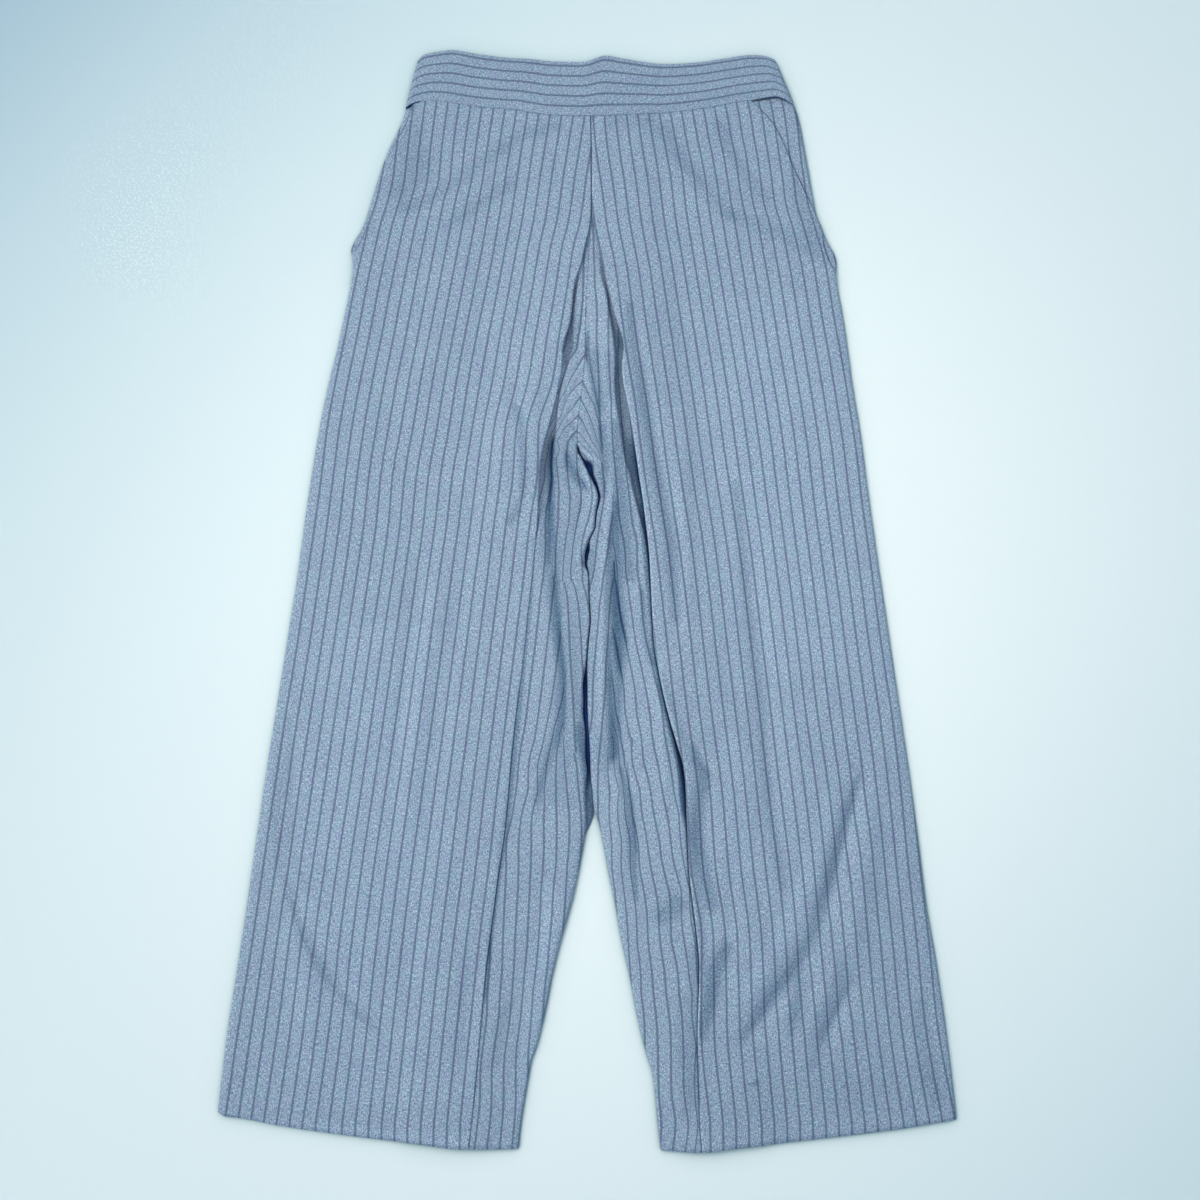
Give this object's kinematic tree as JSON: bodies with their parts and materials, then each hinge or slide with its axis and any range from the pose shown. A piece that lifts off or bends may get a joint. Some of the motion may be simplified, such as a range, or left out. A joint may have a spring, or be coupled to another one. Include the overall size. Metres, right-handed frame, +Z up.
{
  "type": "hakama trousers",
  "caption": "Wide hakama-style trousers in striped cloth, with an inverted pleat down each leg, slanted side pockets and a fitted waistband, laid flat on their back.",
  "frame": {"origin": "on the surface that the trousers lie on, under the middle of their box", "axes": "+X across the garment, to the right as seen from above with the waist at the top; +Y along it, from the hems to the waist; +Z up, out of its front"},
  "size_m": [0.5814, 0.9199, 0.0138],
  "materials": {
    "striped_cloth": "heathered grey-blue cotton with fine dark slate stripes along the leg, dry and matt",
    "waistband_cloth": "the same striped cotton with the stripes running round the waist, interfaced and pressed"
  },
  "bodies": {
    "root": {"front_left": "striped_cloth", "front_right": "striped_cloth", "back_left": "striped_cloth", "back_right": "striped_cloth", "pocket_side_left": "striped_cloth", "pocket_side_right": "striped_cloth", "waistband_front": "waistband_cloth", "waistband_back": "waistband_cloth"}
  },
  "joints": []
}
